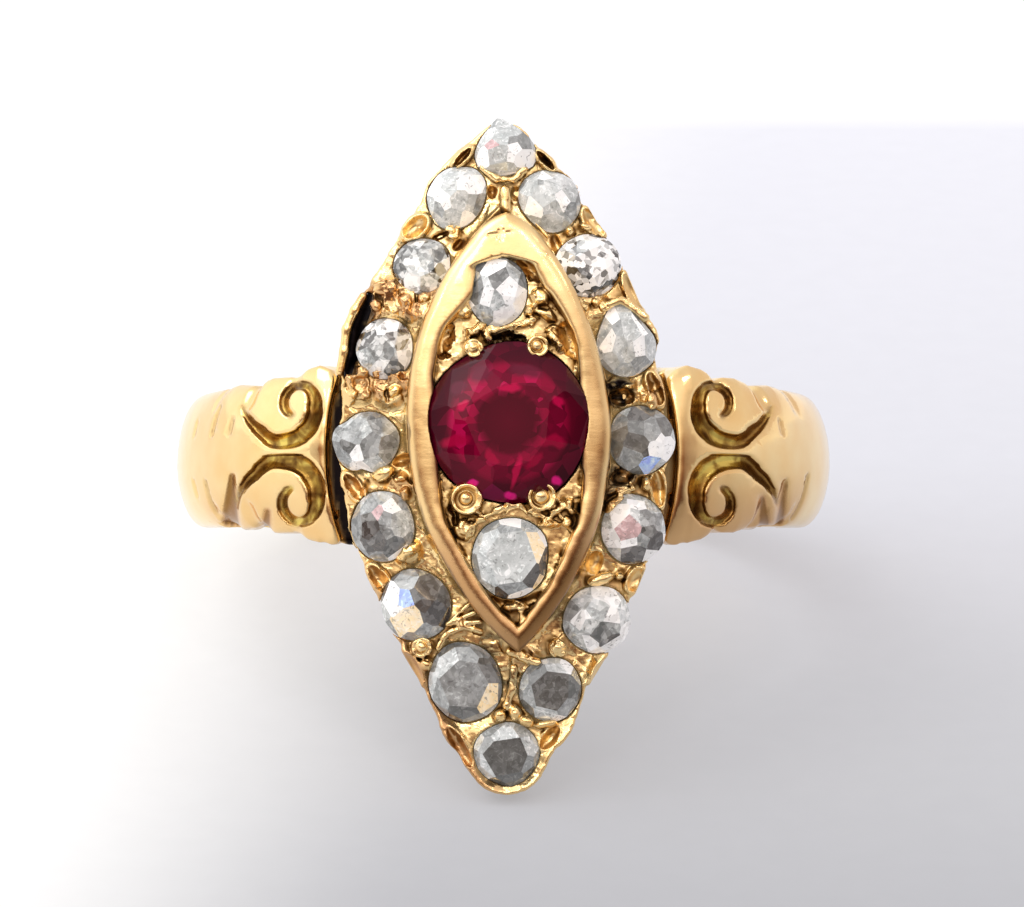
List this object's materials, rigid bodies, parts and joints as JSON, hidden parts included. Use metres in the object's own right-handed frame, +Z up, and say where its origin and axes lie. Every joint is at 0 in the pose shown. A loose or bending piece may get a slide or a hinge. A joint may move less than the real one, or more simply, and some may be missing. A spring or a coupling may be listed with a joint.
{
  "type": "antique navette cluster ring",
  "caption": "Pointed oval cluster ring: old-cut diamonds round a ruby in a raised bezel, on a gold band with scroll-carved shoulders; it lies on its side.",
  "frame": {"origin": "middle of the footprint, on the surface that the ring lies on", "axes": "+Z up from that surface, +Y from the jewelled face towards the back of the band, +X across the finger, from the shoulder at the left of the face to the right one"},
  "size_m": [0.0208, 0.0234, 0.0188],
  "materials": {
    "gold": "worn, softly polished yellow gold with darker green-brown colour in the carving",
    "ruby": "polished deep crimson facets",
    "diamond": "old-cut facets, slightly cloudy, grey-white"
  },
  "bodies": {
    "root": {"gold_mount": "gold", "ruby": "ruby", "diamond_above": "diamond", "diamond_below": "diamond", "diamond_top": "diamond", "diamond_right_1": "diamond", "diamond_right_2": "diamond", "diamond_right_3": "diamond", "diamond_right_4": "diamond", "diamond_right_5": "diamond", "diamond_right_6": "diamond", "diamond_right_7": "diamond", "diamond_bottom": "diamond", "diamond_left_7": "diamond", "diamond_left_6": "diamond", "diamond_left_5": "diamond", "diamond_left_4": "diamond", "diamond_left_3": "diamond", "diamond_left_2": "diamond", "diamond_left_1": "diamond"}
  },
  "joints": []
}
